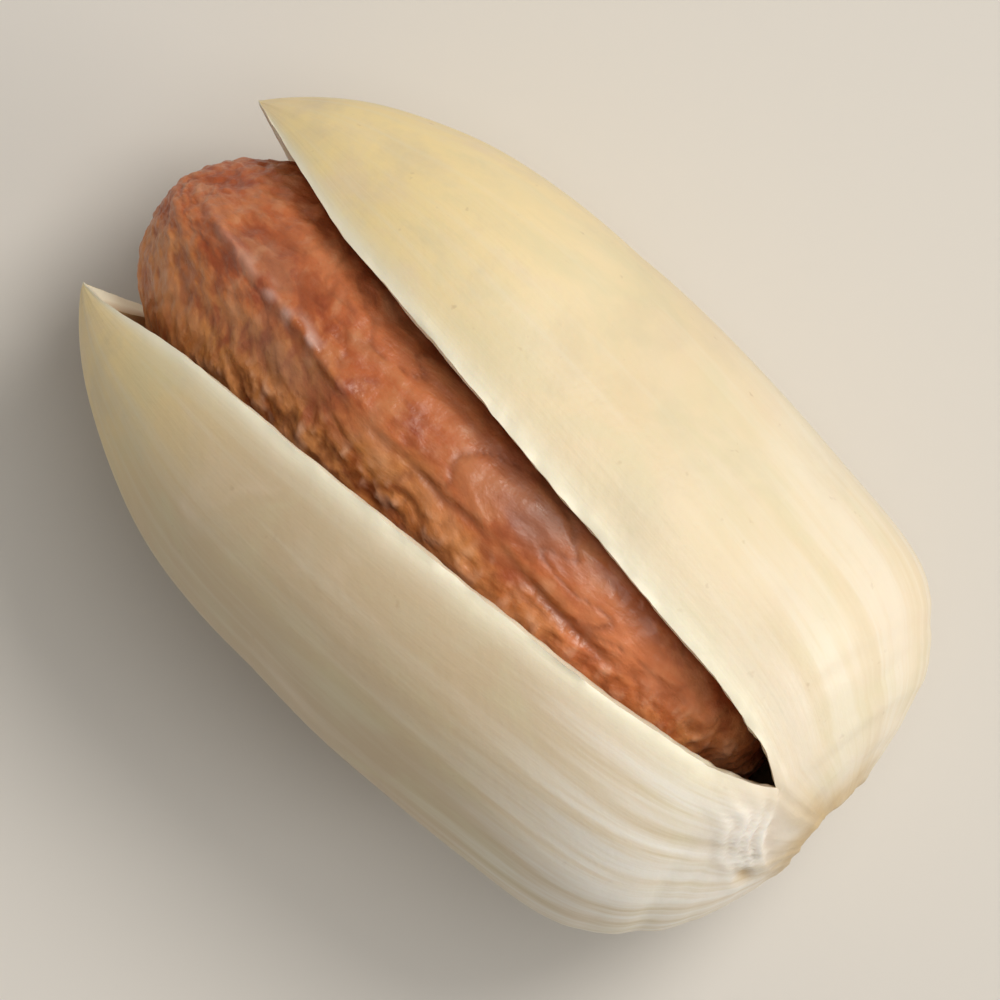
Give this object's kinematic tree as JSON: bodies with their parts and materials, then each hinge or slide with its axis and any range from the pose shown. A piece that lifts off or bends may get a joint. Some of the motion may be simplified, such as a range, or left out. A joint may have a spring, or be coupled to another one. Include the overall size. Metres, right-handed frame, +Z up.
{
  "type": "pistachio in shell",
  "caption": "Pistachio nut lying slit side up: a pale bony shell split open along one side, with the red-brown kernel showing inside.",
  "frame": {"origin": "middle of the bounding box, on the surface that the nut rests on", "axes": "+X along the nut towards the blunt stem end, the two beaked tips point to -X; +Z up, out of the slit; the valves open towards +Y and -Y"},
  "size_m": [0.0206, 0.0128, 0.0117],
  "materials": {
    "shell": "matt, bone-like",
    "kernel": "satin skin with fine wrinkles"
  },
  "bodies": {
    "root": {"shell": "shell", "kernel": "kernel"}
  },
  "joints": []
}
